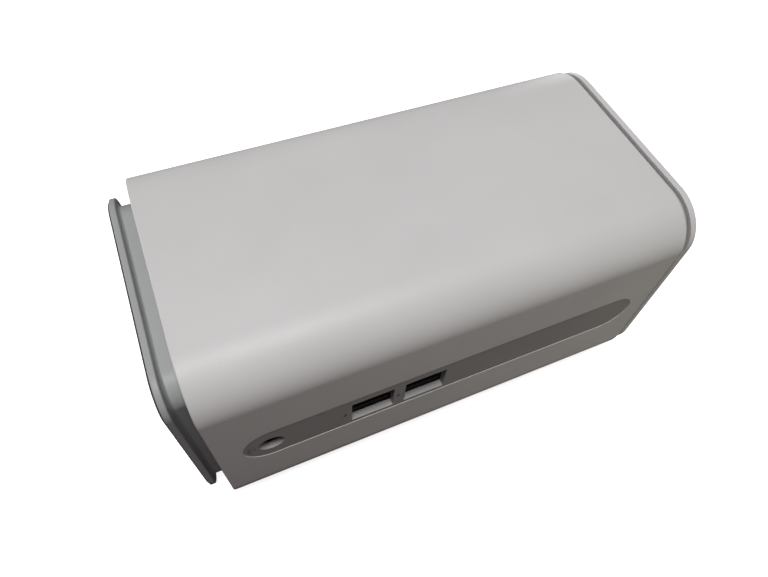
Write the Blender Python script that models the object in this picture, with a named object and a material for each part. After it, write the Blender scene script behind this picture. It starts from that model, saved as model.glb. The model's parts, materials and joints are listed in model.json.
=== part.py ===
"""Laptop docking station: a square-section tower dock, modelled lying on its side.

The long axis is X, with the foot at -X and the end cap at +X. The front port strip faces -Y, the
guessed rear ports face +Y, and Z is up. The origin is under the middle of the dock, on the surface
that its flat side lies on. "Along" distances (s) run from the sleeve's foot end towards the cap,
and "deep" distances run inwards from the front or the back face.
"""

import math

import bmesh
import bpy
from mathutils import Vector

MM = 0.001
GAP = 0.3 * MM  # clearance between neighbouring pieces

# --- Driving dimensions ---------------------------------------------------------------------
SLEEVE_LENGTH = 150.0 * MM
SECTION_DEPTH = 84.3 * MM
SECTION_HEIGHT = 85.8 * MM
# Corner radii of the section: front bottom, back bottom, back top, front top
SECTION_RADII = (18.5 * MM, 17.5 * MM, 17.5 * MM, 15.0 * MM)
SLEEVE_WALL = 2.5 * MM
FOOT_DEPTH = 6.8 * MM  # foot end, from the sleeve's edge to the rubber sole's face
GROOVE_WIDTH = 2.4 * MM
CAP_THICKNESS = 2.4 * MM
CORNER_STEPS = 8

TOTAL_LENGTH = FOOT_DEPTH + SLEEVE_LENGTH + GROOVE_WIDTH + CAP_THICKNESS
SLEEVE_START = FOOT_DEPTH - TOTAL_LENGTH / 2
MIDDLE_Z = SECTION_HEIGHT / 2
INNER_FIT = SLEEVE_WALL + 0.4 * MM  # inset of a piece that slides into the sleeve

# Port panels, front and back
PANEL_RECESS = 0.12 * MM
PANEL_THICKNESS = 2.18 * MM
PANEL_RIM_DEPTH = 4.2 * MM
PANEL_FLANGE = 1.0 * MM
PANEL_RIM = 1.0 * MM  # inset of the pocket behind the panel
PANEL_LENGTH = 135.0 * MM
PANEL_Z = 44.2 * MM
FRONT_PANEL_HEIGHT = 17.4 * MM
REAR_PANEL_HEIGHT = 25.0 * MM
PORT_DEPTH = PANEL_RECESS + PANEL_THICKNESS + GAP  # where the connectors' faces are
SHELL_BACK_WALL = 0.5 * MM

# Front ports
FRONT_USB_ALONG = (47.5 * MM, 65.0 * MM)
FRONT_PORT_Z = 43.3 * MM
FRONT_WINDOW = (13.7 * MM, 11.7 * MM)
HEADSET_ALONG = 15.75 * MM
HEADSET_Z = 43.8 * MM
HEADSET_WINDOW_RADIUS = 3.75 * MM
HEADSET_BORE_RADIUS = 1.8 * MM

# Main board
USB_A_OUTER = (13.1 * MM, 5.7 * MM)
BOARD_TOP = FRONT_PORT_Z - USB_A_OUTER[1] / 2 - GAP
BOARD_THICKNESS = 1.6 * MM
BOARD_EDGE_DEPTH = 4.8 * MM
BOARD_END = 8.0 * MM  # from the sleeve's end to the board's
CONNECTOR_BASE = BOARD_TOP + GAP

# Rear ports, by their place along the dock
POWER_INLET_ALONG = 16.0 * MM
USB_B_ALONG = 29.5 * MM
ETHERNET_ALONG = 46.0 * MM
REAR_USB_ALONG = (63.5 * MM, 79.5 * MM)
HDMI_ALONG = 96.5 * MM
DISPLAYPORT_ALONG = 115.0 * MM
BUTTON_ALONG = 131.0 * MM

# Power button and its switch
BUTTON_RADIUS = 3.45 * MM
BUTTON_FLANGE_RADIUS = 4.5 * MM
BUTTON_STEM_RADIUS = 1.6 * MM
SWITCH_SIZE = 6.0 * MM
PLUNGER_RADIUS = 1.5 * MM

# Chassis
BULKHEAD_THICKNESS = 1.8 * MM
FOOT_BULKHEAD = 4.4 * MM
CAP_BULKHEAD = 143.8 * MM
CAP_FLOOR_DEPTH = 0.8 * MM  # of the spacer's inner face, inside the sleeve's end
TRAY_Z = 30.0 * MM
TRAY_THICKNESS = 2.0 * MM
TRAY_HALF_WIDTH = 37.3 * MM
END_SCREW_OFFSET = 24.0 * MM
BOARD_SCREWS = [(s * MM, y * MM) for s in (24.0, 128.0) for y in (-26.0, 20.0)]
BOSS_RADIUS = 3.5 * MM
STANDOFF_RADIUS = 3.2 * MM

# Screws
SCREW_RADIUS = 1.25 * MM
SCREW_HEAD_RADIUS = 2.5 * MM
HEAD_DEPTH = 1.6 * MM  # of the sunk seat that each end screw's head sits in
HEAD_HOLE_RADIUS = SCREW_HEAD_RADIUS + 0.4 * MM
SHANK_HOLE_RADIUS = SCREW_RADIUS + GAP
END_SCREW_LENGTH = 9.0 * MM
BOARD_SCREW_LENGTH = 7.0 * MM

# Foot
FOOT_RADII = (20.7 * MM, 19.7 * MM, 19.7 * MM, 13.2 * MM)  # of the rim's outline at no inset
FOOT_INSET = 3.7 * MM
NECK_INSET = 7.3 * MM
FOOT_FACE = -6.3 * MM
SOLE_SEAT = -5.7 * MM
RIM_END = -4.6 * MM
FOOT_FLOOR = -2.4 * MM
FOOT_WALL = 2.2 * MM
SOLE_BORDER = 0.5 * MM  # width of the foot's edge round the sole
FILLET_LENGTH = 0.85 * MM  # of the curve from the rim into the neck, along the dock
FILLET_DEPTH = 3.0 * MM
WEIGHT_THICKNESS = 3.0 * MM

COLOURS = {  # name: (colour, roughness, metallic)
    "silver_plastic": ((0.60, 0.60, 0.59), 0.42, 0.0),
    "grey_plastic": ((0.36, 0.37, 0.38), 0.45, 0.0),
    "strip_plastic": ((0.30, 0.30, 0.30), 0.42, 0.0),
    "black_plastic": ((0.02, 0.02, 0.022), 0.45, 0.0),
    "rubber": ((0.03, 0.03, 0.03), 0.85, 0.0),
    "steel": ((0.55, 0.56, 0.57), 0.32, 1.0),
    "dark_steel": ((0.10, 0.10, 0.11), 0.35, 1.0),
    "board_green": ((0.02, 0.13, 0.06), 0.5, 0.0),
    "aluminium": ((0.75, 0.76, 0.77), 0.35, 1.0),
    "thermal_silicone": ((0.35, 0.42, 0.52), 0.9, 0.0),
}


def clear_scene():
    for obj in list(bpy.data.objects):
        bpy.data.objects.remove(obj)


def make_materials():
    for name, (colour, roughness, metallic) in COLOURS.items():
        material = bpy.data.materials.new(name)
        material.use_nodes = True
        shader = material.node_tree.nodes["Principled BSDF"]
        shader.inputs["Base Color"].default_value = (*colour, 1.0)
        shader.inputs["Roughness"].default_value = roughness
        shader.inputs["Metallic"].default_value = metallic


# --- Places -----------------------------------------------------------------------------------
def along(distance):
    """X of a place this far along the sleeve from its foot end."""
    return SLEEVE_START + distance


def deep(side, distance):
    """Y of a place this deep behind the front face (side -1) or the back face (side +1)."""
    return side * (SECTION_DEPTH / 2 - distance)


# --- Outlines: lists of (u, v), anticlockwise, all of the same length for the same steps --------
def rounded(width, height, radii, steps, centre=(0.0, 0.0)):
    """A rounded rectangle. The radii start at low u, low v and go anticlockwise."""
    if not isinstance(radii, tuple):
        radii = (radii,) * 4
    signs = ((-1, -1), (1, -1), (1, 1), (-1, 1))
    points = []
    for corner, ((side_u, side_v), radius) in enumerate(zip(signs, radii)):
        middle_u = centre[0] + side_u * (width / 2 - radius)
        middle_v = centre[1] + side_v * (height / 2 - radius)
        start = math.pi * (1 + corner / 2)
        for step in range(steps + 1):
            angle = start + math.pi / 2 * step / steps
            points.append((middle_u + radius * math.cos(angle), middle_v + radius * math.sin(angle)))
    return points


def section(inset, steps=CORNER_STEPS, corner_radii=SECTION_RADII):
    """The dock's cross-section in Y and Z, moved in by this much."""
    radii = tuple(max(radius - inset, 2 * MM) for radius in corner_radii)
    size = (SECTION_DEPTH - 2 * inset, SECTION_HEIGHT - 2 * inset)
    return rounded(*size, radii, steps, (0.0, MIDDLE_Z))


def foot_section(inset, steps=CORNER_STEPS, neck=0.0):
    """The foot's outline. Its corners are the rim's where neck is 0, and the section's where it is 1."""
    radii = tuple(rim + neck * (own - rim) for rim, own in zip(FOOT_RADII, SECTION_RADII))
    return section(inset, steps, radii)


def stadium(length, height, offset, centre, steps=8):
    """A strip with round ends, moved out by the offset."""
    tall = height + 2 * offset
    return rounded(length + 2 * offset, tall, tall / 2 - 0.01 * MM, steps, centre)


def circle(radius, centre, sides=16, start=0.0):
    turns = [start + 2 * math.pi * side / sides for side in range(sides)]
    return [(centre[0] + radius * math.cos(t), centre[1] + radius * math.sin(t)) for t in turns]


def circle_facing(radius, centre, steps):
    """A circle with as many points as a rounded rectangle of these corner steps, turned to match it."""
    sides = 4 * (steps + 1)
    return circle(radius, centre, sides, math.radians(225) - math.pi * steps / sides)


# --- Solids -----------------------------------------------------------------------------------
def ring(axis, place, outline):
    """An outline set in space at this place on the axis. Its u and v are the two other axes in order."""
    if axis == "X":
        return [Vector((place, u, v)) for u, v in outline]
    if axis == "Y":
        return [Vector((u, place, v)) for u, v in outline]
    return [Vector((u, v, place)) for u, v in outline]


def finish_mesh(name, mesh_data, material):
    bmesh.ops.recalc_face_normals(mesh_data, faces=mesh_data.faces)
    mesh = bpy.data.meshes.new(name)
    mesh_data.to_mesh(mesh)
    mesh_data.free()
    mesh.shade_smooth()
    mesh.set_sharp_from_angle(angle=math.radians(35))
    obj = bpy.data.objects.new(name, mesh)
    bpy.context.scene.collection.objects.link(obj)
    if material:
        mesh.materials.append(bpy.data.materials[material])
    return obj


def loft(name, rings, material=None, looped=False):
    """Bridges rings of equal length. The end rings are filled, or joined to each other when looped."""
    data = bmesh.new()
    rows = [[data.verts.new(point) for point in points] for points in rings]
    count = len(rows[0])
    pairs = list(zip(rows, rows[1:]))
    if looped:
        pairs.append((rows[-1], rows[0]))
    else:
        data.faces.new(rows[0])
        data.faces.new(rows[-1])
    for low, high in pairs:
        for i in range(count):
            j = (i + 1) % count
            data.faces.new((low[i], low[j], high[j], high[i]))
    return finish_mesh(name, data, material)


def lathe(name, axis, centre, profile, material=None, sides=12):
    """A turned solid: the profile is (place on the axis, radius) from one end to the other."""
    rings = [ring(axis, place, circle(radius, centre, sides)) for place, radius in profile]
    return loft(name, rings, material)


def block(name, low, high, material=None, radius=0.0, steps=2):
    """A box between two corners, with its upright edges rounded if there is a radius."""
    size = (high[0] - low[0], high[1] - low[1])
    centre = ((high[0] + low[0]) / 2, (high[1] + low[1]) / 2)
    if radius:
        outline = rounded(*size, radius, steps, centre)
    else:
        outline = [(low[0], low[1]), (high[0], low[1]), (high[0], high[1]), (low[0], high[1])]
    return loft(name, [ring("Z", low[2], outline), ring("Z", high[2], outline)], material)


def combine(target, tool, operation):
    """Cuts the tool from the target, or joins it on. The tool stays as a hidden helper."""
    tool.hide_render = True
    tool.display_type = "WIRE"
    modifier = target.modifiers.new(f"{operation.lower()}_{tool.name}", "BOOLEAN")
    modifier.operation = operation
    modifier.object = tool


def cut(target, tool):
    combine(target, tool, "DIFFERENCE")


def join(target, tool):
    combine(target, tool, "UNION")


# --- Casing -----------------------------------------------------------------------------------
def make_sleeve():
    start, end = along(0), along(SLEEVE_LENGTH)
    edge = 0.4 * MM
    rings = [
        ring("X", start, section(edge)),
        ring("X", start + edge, section(0)),
        ring("X", end - edge, section(0)),
        ring("X", end, section(edge)),
        ring("X", end, section(SLEEVE_WALL)),
        ring("X", start, section(SLEEVE_WALL)),
    ]
    sleeve = loft("outer_sleeve", rings, "silver_plastic", looped=True)
    for side, height, name in ((-1, FRONT_PANEL_HEIGHT, "front"), (1, REAR_PANEL_HEIGHT, "rear")):
        outline = stadium(PANEL_LENGTH, height, 0, (along(SLEEVE_LENGTH / 2), PANEL_Z))
        places = (deep(side, -MM), deep(side, SLEEVE_WALL + MM))
        cut(sleeve, loft(f"{name}_panel_cutter", [ring("Y", place, outline) for place in places]))


def make_cap():
    groove_start = SLEEVE_LENGTH + GAP
    groove_end = SLEEVE_LENGTH + GROOVE_WIDTH - GAP
    floor = SLEEVE_LENGTH - CAP_FLOOR_DEPTH
    skirt = CAP_BULKHEAD + BULKHEAD_THICKNESS + GAP
    skirt_inset = INNER_FIT + 2.2 * MM
    groove_inset = 1.9 * MM
    profile = (
        (floor, skirt_inset),
        (skirt, skirt_inset),
        (skirt, INNER_FIT),
        (groove_start, INNER_FIT),
        (groove_start, groove_inset),
        (groove_end, groove_inset),
    )
    rings = [ring("X", along(s), section(inset)) for s, inset in profile]
    spacer = loft("cap_spacer", rings, "grey_plastic")
    head_seat = groove_end - HEAD_DEPTH
    hole = (
        (floor - MM, SHANK_HOLE_RADIUS),
        (head_seat, SHANK_HOLE_RADIUS),
        (head_seat, HEAD_HOLE_RADIUS),
        (groove_end + MM, HEAD_HOLE_RADIUS),
    )
    for number, centre in enumerate(end_screw_centres(), 1):
        cut(spacer, lathe(f"cap_screw_cutter_{number}", "X", centre, [(along(s), r) for s, r in hole]))
        screw(f"cap_screw_{number}", centre, along(head_seat + GAP), 1, END_SCREW_LENGTH)
    plate_start = SLEEVE_LENGTH + GROOVE_WIDTH
    plate_end = plate_start + CAP_THICKNESS
    inset = 0.7 * MM
    profile = (
        (plate_start, inset + 0.3 * MM),
        (plate_start + 0.3 * MM, inset),
        (plate_end - 0.6 * MM, inset),
        (plate_end - 0.2 * MM, inset + 0.2 * MM),
        (plate_end, inset + 0.7 * MM),
    )
    loft("cap_plate", [ring("X", along(s), section(inset)) for s, inset in profile], "silver_plastic")


def foot_rings():
    """The foot from the sole's seat along its outside to the plug, and back inside to its floor."""
    step_out = 1.0 * MM
    plug_end = FOOT_BULKHEAD - GAP
    flange = (
        (SOLE_SEAT, FOOT_INSET + SOLE_BORDER),
        (FOOT_FACE, FOOT_INSET + SOLE_BORDER),
        (FOOT_FACE, FOOT_INSET + 0.25 * MM),
        (FOOT_FACE + 0.25 * MM, FOOT_INSET),
        (RIM_END - 0.2 * MM, FOOT_INSET),
        (RIM_END, FOOT_INSET + 0.2 * MM),
    )
    rings = [ring("X", along(s), foot_section(inset)) for s, inset in flange]
    fillet_steps = 5
    fillet_end = RIM_END + 0.1 * MM + FILLET_LENGTH
    for step in range(fillet_steps + 1):
        angle = math.pi / 2 * step / fillet_steps
        s = fillet_end - FILLET_LENGTH * math.cos(angle)
        inset = NECK_INSET - FILLET_DEPTH * (1 - math.sin(angle))
        rings.append(ring("X", along(s), foot_section(inset, neck=step / fillet_steps)))
    plug_and_pocket = (
        (step_out, NECK_INSET),
        (step_out, INNER_FIT),
        (plug_end, INNER_FIT),
        (plug_end, INNER_FIT + FOOT_WALL),
        (step_out + FOOT_WALL, INNER_FIT + FOOT_WALL),
        (step_out + FOOT_WALL, NECK_INSET + FOOT_WALL),
        (FOOT_FLOOR, NECK_INSET + FOOT_WALL),
    )
    return rings + [ring("X", along(s), section(inset)) for s, inset in plug_and_pocket]


def make_foot():
    foot = loft("base_foot", foot_rings(), "grey_plastic")
    head_seat = SOLE_SEAT + HEAD_DEPTH
    hole = (
        (SOLE_SEAT - MM, HEAD_HOLE_RADIUS),
        (head_seat, HEAD_HOLE_RADIUS),
        (head_seat, SHANK_HOLE_RADIUS),
        (FOOT_FLOOR + MM, SHANK_HOLE_RADIUS),
    )
    for number, centre in enumerate(end_screw_centres(), 1):
        cut(foot, lathe(f"base_screw_cutter_{number}", "X", centre, [(along(s), r) for s, r in hole]))
        screw(f"base_screw_{number}", centre, along(head_seat - GAP), -1, END_SCREW_LENGTH)
    sole_inset = FOOT_INSET + SOLE_BORDER + GAP
    sole_face = -FOOT_DEPTH
    profile = (
        (sole_face, sole_inset + 0.2 * MM),
        (sole_face + 0.2 * MM, sole_inset),
        (SOLE_SEAT - GAP, sole_inset),
    )
    loft("base_rubber_sole", [ring("X", along(s), foot_section(inset)) for s, inset in profile], "rubber")
    make_weight()


def make_weight():
    """A steel plate in the foot's pocket, with a hole for each of the chassis's bosses."""
    start = FOOT_FLOOR + GAP
    end = start + WEIGHT_THICKNESS
    outline = section(NECK_INSET + FOOT_WALL + 0.5 * MM, 5)
    weight = loft("base_weight_plate", [ring("X", along(s), outline) for s in (start, end)], "steel")
    for number, centre in enumerate(end_screw_centres(), 1):
        hole = [(along(s), BOSS_RADIUS + 0.4 * MM) for s in (start - MM, end + MM)]
        cut(weight, lathe(f"weight_cutter_{number}", "X", centre, hole))


# --- Fasteners --------------------------------------------------------------------------------
def end_screw_centres():
    """(Y, Z) of the four screws that hold each end piece to the chassis."""
    corners = ((-1, -1), (1, -1), (1, 1), (-1, 1))
    return [(y * END_SCREW_OFFSET, MIDDLE_Z + z * END_SCREW_OFFSET) for y, z in corners]


def screw(name, centre, seat, head_side, length, axis="X"):
    """A pan-head screw. Its head rises from the seat towards head_side."""
    profile = (
        (seat - head_side * length, 0.5 * MM),
        (seat - head_side * (length - 0.9 * MM), SCREW_RADIUS),
        (seat, SCREW_RADIUS),
        (seat, SCREW_HEAD_RADIUS),
        (seat + head_side * 0.7 * MM, SCREW_HEAD_RADIUS),
        (seat + head_side * 1.15 * MM, 1.7 * MM),
    )
    lathe(name, axis, centre, profile, "steel", sides=10)


# --- Chassis and board ------------------------------------------------------------------------
def make_chassis():
    tray_ends = (along(FOOT_BULKHEAD + MM), along(CAP_BULKHEAD + MM))
    chassis = block(
        "chassis_tray",
        (tray_ends[0], -TRAY_HALF_WIDTH, TRAY_Z),
        (tray_ends[1], TRAY_HALF_WIDTH, TRAY_Z + TRAY_THICKNESS),
        "black_plastic",
    )
    for name, start in (("foot", FOOT_BULKHEAD), ("cap", CAP_BULKHEAD)):
        outline = section(INNER_FIT + 0.2 * MM, 6)
        places = (along(start), along(start + BULKHEAD_THICKNESS))
        join(chassis, loft(f"{name}_bulkhead_tool", [ring("X", x, outline) for x in places]))
    for side in (-1, 1):
        rail_y = sorted((side * TRAY_HALF_WIDTH, side * (TRAY_HALF_WIDTH - 2 * MM)))
        low = (tray_ends[0], rail_y[0], TRAY_Z - 6 * MM)
        join(chassis, block(f"rail_tool_{side}", low, (tray_ends[1], rail_y[1], TRAY_Z + MM)))
    standoff_top = BOARD_TOP - BOARD_THICKNESS - GAP
    for number, (s, y) in enumerate(BOARD_SCREWS, 1):
        centre = (along(s), y)
        standoff = [(z, STANDOFF_RADIUS) for z in (TRAY_Z + 0.5 * MM, standoff_top)]
        join(chassis, lathe(f"standoff_tool_{number}", "Z", centre, standoff))
        hole = [(z, SHANK_HOLE_RADIUS) for z in (TRAY_Z - MM, standoff_top + MM)]
        cut(chassis, lathe(f"standoff_cutter_{number}", "Z", centre, hole))
    foot_boss = (FOOT_FLOOR + GAP, FOOT_BULKHEAD + MM)
    cap_boss = (CAP_BULKHEAD + MM, SLEEVE_LENGTH - CAP_FLOOR_DEPTH - GAP)
    for number, centre in enumerate(end_screw_centres(), 1):
        for name, ends in (("foot", foot_boss), ("cap", cap_boss)):
            boss = [(along(s), BOSS_RADIUS) for s in ends]
            join(chassis, lathe(f"{name}_boss_tool_{number}", "X", centre, boss))
            hole = [(along(s), SHANK_HOLE_RADIUS) for s in (ends[0] - 4 * MM, ends[1] + 4 * MM)]
            cut(chassis, lathe(f"{name}_boss_cutter_{number}", "X", centre, hole))


def make_board():
    low = (along(BOARD_END), deep(-1, BOARD_EDGE_DEPTH), BOARD_TOP - BOARD_THICKNESS)
    high = (along(SLEEVE_LENGTH - BOARD_END), deep(1, BOARD_EDGE_DEPTH), BOARD_TOP)
    board = block("main_board", low, high, "board_green", radius=2 * MM)
    for number, (s, y) in enumerate(BOARD_SCREWS, 1):
        centre = (along(s), y)
        hole = [(z, SHANK_HOLE_RADIUS) for z in (BOARD_TOP - 4 * MM, BOARD_TOP + 4 * MM)]
        cut(board, lathe(f"board_cutter_{number}", "Z", centre, hole))
        screw(f"board_screw_{number}", centre, BOARD_TOP + GAP, 1, BOARD_SCREW_LENGTH, axis="Z")


def chip(name, middle, width, height):
    """A square component on the board, with its middle at this X and Y."""
    low = (middle[0] - width / 2, middle[1] - width / 2, CONNECTOR_BASE)
    high = (middle[0] + width / 2, middle[1] + width / 2, CONNECTOR_BASE + height)
    block(name, low, high, "black_plastic", radius=0.5 * MM)


def make_board_parts():
    chip_height = 1.4 * MM
    middle = (along(88 * MM), 2 * MM)
    chip("video_controller", middle, 17 * MM, chip_height)
    chip("usb_hub_controller", (along(54 * MM), -2 * MM), 10 * MM, chip_height)
    chip("ethernet_controller", (along(46 * MM), 14 * MM), 8 * MM, chip_height)
    chip("power_inductor", (along(30 * MM), 6 * MM), 12 * MM, 6 * MM)
    pad_base = CONNECTOR_BASE + chip_height + GAP
    pad_top = pad_base + 1 * MM
    half = 8 * MM
    block(
        "thermal_interface",
        (middle[0] - half, middle[1] - half, pad_base),
        (middle[0] + half, middle[1] + half, pad_top),
        "thermal_silicone",
    )
    make_heat_sink(middle, pad_top + GAP)
    for number, y in enumerate((-11 * MM, -1.5 * MM), 1):
        base = CONNECTOR_BASE
        profile = (
            (base, 3.6 * MM),
            (base + 0.6 * MM, 4.0 * MM),
            (base + 1.6 * MM, 4.0 * MM),
            (base + 2.0 * MM, 3.7 * MM),
            (base + 2.4 * MM, 4.0 * MM),
            (base + 11.6 * MM, 4.0 * MM),
            (base + 12.0 * MM, 3.6 * MM),
        )
        lathe(f"bulk_capacitor_{number}", "Z", (along(17 * MM), y), profile, "aluminium")


def make_heat_sink(middle, base):
    """A finned block: a comb outline in Y and Z, drawn out along X."""
    fins = 8
    fin_width = 1.2 * MM
    half_length = 19 * MM
    width = 34 * MM
    pitch = (width - fin_width) / (fins - 1)
    plate_top = base + 2.5 * MM
    fin_top = base + 14 * MM
    start = middle[1] - width / 2
    outline = [(start, base), (start + width, base)]
    for fin in reversed(range(fins)):
        left = start + fin * pitch
        outline += [(left + fin_width, fin_top), (left, fin_top)]
        if fin:
            outline += [(left, plate_top), (left - pitch + fin_width, plate_top)]
    places = (middle[0] - half_length, middle[0] + half_length)
    loft("heat_sink", [ring("X", x, outline) for x in places], "aluminium")


# --- Port panels ------------------------------------------------------------------------------
def port_panel(name, side, height):
    """A recessed strip with a rim behind it, and a flange that holds it behind the sleeve's wall."""
    centre = (along(SLEEVE_LENGTH / 2), PANEL_Z)
    back = PANEL_RECESS + PANEL_THICKNESS
    flange = SLEEVE_WALL + GAP
    profile = (
        (PANEL_RECESS, -GAP),
        (flange, -GAP),
        (flange, PANEL_FLANGE),
        (PANEL_RIM_DEPTH, PANEL_FLANGE),
        (PANEL_RIM_DEPTH, -PANEL_RIM),
        (back, -PANEL_RIM),
    )
    rings = []
    for depth, offset in profile:
        rings.append(ring("Y", deep(side, depth), stadium(PANEL_LENGTH, height, offset, centre)))
    return loft(name, rings, "strip_plastic")


def window(panel, name, side, outline):
    """Cuts a port's outline right through a panel."""
    places = (deep(side, -MM), deep(side, PANEL_RIM_DEPTH + MM))
    cut(panel, loft(f"{name}_cutter", [ring("Y", place, outline) for place in places]))


def make_front_ports():
    panel = port_panel("front_port_panel", -1, FRONT_PANEL_HEIGHT)
    for number, s in enumerate(FRONT_USB_ALONG, 1):
        name = f"front_usb_{number}"
        centre = (along(s), FRONT_PORT_Z)
        window(panel, name, -1, rounded(*FRONT_WINDOW, 0.3 * MM, 2, centre))
        usb_a(name, -1, centre, "dark_steel")
    make_collar()
    centre = (along(HEADSET_ALONG), HEADSET_Z)
    window(panel, "headset", -1, circle(HEADSET_WINDOW_RADIUS, centre, 24))
    half = HEADSET_Z - CONNECTOR_BASE
    steps = 3
    outline = rounded(2 * half + MM, 2 * half, 0.5 * MM, steps, centre)
    bore = circle_facing(HEADSET_BORE_RADIUS, centre, steps)
    shell("headset_jack", -1, outline, bore, 14 * MM, "black_plastic", back_wall=1 * MM)


def make_collar():
    """A black collar behind the two USB windows. It closes the gap round each receptacle."""
    low_z = PANEL_Z - FRONT_PANEL_HEIGHT / 2 + PANEL_RIM + GAP
    high_z = PANEL_Z + FRONT_PANEL_HEIGHT / 2 - PANEL_RIM - GAP
    margin = FRONT_WINDOW[0] / 2 + 1.5 * MM
    low_x = along(FRONT_USB_ALONG[0]) - margin
    high_x = along(FRONT_USB_ALONG[1]) + margin
    centre = ((low_x + high_x) / 2, (low_z + high_z) / 2)
    outline = rounded(high_x - low_x, high_z - low_z, 1 * MM, 2, centre)
    places = (deep(-1, PORT_DEPTH), deep(-1, BOARD_EDGE_DEPTH - GAP))
    collar = loft("front_usb_collar", [ring("Y", place, outline) for place in places], "black_plastic")
    for number, s in enumerate(FRONT_USB_ALONG, 1):
        size = (USB_A_OUTER[0] + 2 * GAP, USB_A_OUTER[1] + 2 * GAP)
        hole = rounded(*size, 0.6 * MM, 2, (along(s), FRONT_PORT_Z))
        places = (deep(-1, 0.0), deep(-1, BOARD_EDGE_DEPTH + MM))
        cut(collar, loft(f"collar_cutter_{number}", [ring("Y", place, hole) for place in places]))


def make_rear_ports():
    panel = port_panel("rear_port_panel", 1, REAR_PANEL_HEIGHT)
    for number, s in enumerate(REAR_USB_ALONG, 1):
        name = f"rear_usb_{number}"
        centre = (along(s), CONNECTOR_BASE + USB_A_OUTER[1] / 2)
        window(panel, name, 1, rounded(13.7 * MM, 6.3 * MM, 0.4 * MM, 2, centre))
        usb_a(name, 1, centre, "steel")
    square, cut_off = 0.4 * MM, 1.7 * MM
    hdmi_corners = (cut_off, cut_off, square, square)
    digital_port(panel, "hdmi", HDMI_ALONG, (14.5 * MM, 5.6 * MM), hdmi_corners, (10.0 * MM, 0.9 * MM))
    displayport_corners = (square, cut_off, square, square)
    size = (16.8 * MM, 5.8 * MM)
    digital_port(panel, "displayport", DISPLAYPORT_ALONG, size, displayport_corners, (12.4 * MM, 1.1 * MM))
    usb_b(panel)
    ethernet(panel)
    power_inlet(panel)
    power_button(panel)


# --- Connectors -------------------------------------------------------------------------------
def shell(name, side, outer, inner, length, material, face=PORT_DEPTH, back_wall=SHELL_BACK_WALL):
    """A connector shell: open at its face, and closed at its back."""
    rings = [
        ring("Y", deep(side, face + length - back_wall), inner),
        ring("Y", deep(side, face), inner),
        ring("Y", deep(side, face), outer),
        ring("Y", deep(side, face + length), outer),
    ]
    loft(name, rings, material)


def tongue(name, side, centre, base_size, tongue_size, shell_length, tongue_start):
    """The insulator in a shell: a block at the back and a tongue that stands out of it to the front."""
    back = PORT_DEPTH + shell_length - SHELL_BACK_WALL - GAP
    shoulder = back - 3 * MM
    tip = PORT_DEPTH + tongue_start
    profile = ((back, base_size), (shoulder, base_size), (shoulder, tongue_size), (tip, tongue_size))
    rings = [ring("Y", deep(side, depth), rounded(*size, 0.2 * MM, 1, centre)) for depth, size in profile]
    loft(name, rings, "black_plastic")


def usb_a(name, side, centre, material):
    wall = 0.3 * MM
    length = 14 * MM
    inner_size = (USB_A_OUTER[0] - 2 * wall, USB_A_OUTER[1] - 2 * wall)
    outer = rounded(*USB_A_OUTER, 0.6 * MM, 3, centre)
    inner = rounded(*inner_size, 0.35 * MM, 3, centre)
    shell(f"{name}_shell", side, outer, inner, length, material)
    base = (inner_size[0] - 2 * GAP, inner_size[1] - 2 * GAP)
    tongue(f"{name}_tongue", side, centre, base, (10.6 * MM, 1.9 * MM), length, 1.2 * MM)


def digital_port(panel, name, s, size, radii, tongue_size):
    """A shielded display socket, whose shape is a rectangle with its lower corners cut or rounded."""
    wall = 0.4 * MM
    length = 11 * MM
    centre = (along(s), CONNECTOR_BASE + size[1] / 2)
    outer = rounded(*size, radii, 3, centre)
    inner_size = (size[0] - 2 * wall, size[1] - 2 * wall)
    inner = rounded(*inner_size, tuple(max(radius - wall, 0.2 * MM) for radius in radii), 3, centre)
    window(panel, name, 1, rounded(size[0] + 0.6 * MM, size[1] + 0.6 * MM, radii, 3, centre))
    shell(f"{name}_shell", 1, outer, inner, length, "steel")
    base = (inner_size[0] - 3.4 * MM, inner_size[1] - 2 * GAP - 0.6 * MM)
    tongue(f"{name}_tongue", 1, centre, base, tongue_size, length, 1.0 * MM)


def usb_b(panel):
    size = (12.0 * MM, 11.0 * MM)
    length = 16 * MM
    centre = (along(USB_B_ALONG), CONNECTOR_BASE + size[1] / 2)
    outer = rounded(*size, 0.4 * MM, 3, centre)
    inner = rounded(8.5 * MM, 7.8 * MM, (0.4 * MM, 0.4 * MM, 1.8 * MM, 1.8 * MM), 3, centre)
    window(panel, "usb_b", 1, rounded(9.6 * MM, 8.9 * MM, 0.8 * MM, 2, centre))
    shell("upstream_usb_shell", 1, outer, inner, length, "steel")
    tongue("upstream_usb_tongue", 1, centre, (7.2 * MM, 6.0 * MM), (5.6 * MM, 3.2 * MM), length, 1.5 * MM)


def ethernet(panel):
    size = (16.0 * MM, 13.4 * MM)
    length = 16 * MM
    centre = (along(ETHERNET_ALONG), CONNECTOR_BASE + size[1] / 2)
    opening = (11.9 * MM, 8.6 * MM)
    opening_centre = (centre[0], centre[1] - 0.6 * MM)
    outer = rounded(*size, 0.4 * MM, 3, centre)
    inner = rounded(*opening, 0.3 * MM, 3, opening_centre)
    window(panel, "ethernet", 1, rounded(13.0 * MM, 10.2 * MM, 0.5 * MM, 2, opening_centre))
    shell("ethernet_jack_shell", 1, outer, inner, length, "steel")
    contact_top = opening_centre[1] + opening[1] / 2 - GAP
    low = (centre[0] - 4.5 * MM, deep(1, PORT_DEPTH + length - 1 * MM), contact_top - 1.6 * MM)
    high = (centre[0] + 4.5 * MM, deep(1, PORT_DEPTH + 4 * MM), contact_top)
    block("ethernet_jack_contact_block", low, high, "black_plastic")


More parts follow.
